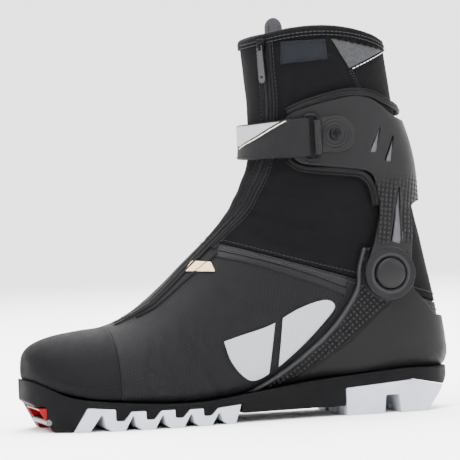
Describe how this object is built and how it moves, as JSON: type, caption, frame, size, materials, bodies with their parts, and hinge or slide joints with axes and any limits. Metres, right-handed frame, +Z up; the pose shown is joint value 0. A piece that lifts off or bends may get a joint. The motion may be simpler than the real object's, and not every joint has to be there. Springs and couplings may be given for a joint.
{
  "type": "cross country ski boot",
  "caption": "Left skate cross-country ski boot with a hinged ankle cuff, strap and ring, front zip, toe bar and two-part tread.",
  "frame": {"origin": "on the ground, in the middle of the boot's bounding box", "axes": "+Z up, +X towards the heel, -X towards the toe, -Y the lateral side, +Y the medial side of a left boot"},
  "size_m": [0.31, 0.0983, 0.2844],
  "materials": {
    "softshell": "matte woven softshell",
    "ripstop": "coated ripstop, low sheen",
    "band": "welded film, satin",
    "lining": "brushed knit, matte",
    "board": "fibre board, matte",
    "sole_rubber": "matte",
    "tread_rubber": "white, satin",
    "recess_red": "gloss",
    "steel": "satin",
    "shell_plastic": "moulded, satin with a fine grain",
    "lip_rubber": "soft, matte",
    "insert_grey": "moulded, satin",
    "strap_web": "coated webbing, satin",
    "reflective": "retroreflective film",
    "silver_print": "silver print, satin",
    "label_black": "soft label, matte",
    "tag_tan": "woven, matte",
    "zip_black": "moulded, satin",
    "puller_grey": "moulded, satin"
  },
  "bodies": {
    "boot": {"ankle_gaiter": "softshell", "ankle_liner": "lining", "foot_liner": "lining", "footbed": "board", "forefoot_tread": "tread_rubber", "heel_chassis": "shell_plastic", "heel_tread": "tread_rubber", "insole_board": "board", "instep_tag": "tag_tan", "lower_band_lateral": "band", "lower_band_medial": "band", "outsole": "sole_rubber", "pivot_cap_lateral": "shell_plastic", "pivot_cap_medial": "shell_plastic", "pivot_rivet_lateral": "steel", "pivot_rivet_medial": "steel", "quarter": "ripstop", "shank": "steel", "side_graphic_front": "silver_print", "side_graphic_rear": "silver_print", "toe_bar": "steel", "toe_cap": "ripstop", "toe_recess_liner": "recess_red", "tongue": "lining", "upper_band_lateral": "band", "upper_band_medial": "band", "zip_tape_lower": "zip_black", "zip_teeth_lower": "zip_black"},
    "cuff": {"anchor_screw": "steel", "collar_binding": "softshell", "collar_label": "label_black", "collar_liner": "lining", "collar_shell": "softshell", "cuff": "shell_plastic", "cuff_lower_lip_lateral": "lip_rubber", "cuff_lower_lip_medial": "lip_rubber", "cuff_upper_lip": "lip_rubber", "pivot_bush_lateral": "insert_grey", "pivot_bush_medial": "insert_grey", "pull_tab": "puller_grey", "reflective_patch_lateral": "reflective", "reflective_patch_medial": "reflective", "slit_front_insert_lateral": "insert_grey", "slit_front_insert_medial": "insert_grey", "slit_rear_insert_lateral": "insert_grey", "slit_rear_insert_medial": "insert_grey", "strap": "strap_web", "strap_anchor_plate": "shell_plastic", "strap_hook_pad": "softshell", "strap_stud_medial": "steel", "window_insert_lateral": "insert_grey", "window_insert_medial": "insert_grey", "zip_tape_upper": "zip_black", "zip_teeth_upper": "zip_black"},
    "ring": {"strap_ring": "steel"},
    "zip_slider": {"zip_slider": "zip_black"},
    "zip_puller": {"zip_puller": "puller_grey"}
  },
  "joints": [
    {"name": "cuff_flex", "type": "hinge", "parent": "boot", "child": "cuff", "pos_m": [0.1036, 0, 0.0988], "axis": [0, -1, 0], "range_deg": [-5, 18], "stiffness_Nm_per_rad": 8, "deforming": ["ankle_gaiter", "ankle_liner", "tongue", "zip_tape_lower", "zip_teeth_lower"]},
    {"name": "ring_swing", "type": "hinge", "parent": "cuff", "child": "ring", "pos_m": [0.05383, -0.0462, 0.196], "axis": [-0.0035, 0.0009, 1], "range_deg": [-3, 20], "deforming": ["strap", "strap_hook_pad"]},
    {"name": "zip_slide", "type": "slide", "parent": "cuff", "child": "zip_slider", "axis": [0.0622, 0.0571, -0.9964], "range_m": [0, 0.022]},
    {"name": "zip_puller_swing", "type": "hinge", "parent": "zip_slider", "child": "zip_puller", "pos_m": [0.01913, -0.02819, 0.26144], "axis": [-0.6527, 0.7576, 0.0027], "range_deg": [0, 160]}
  ]
}
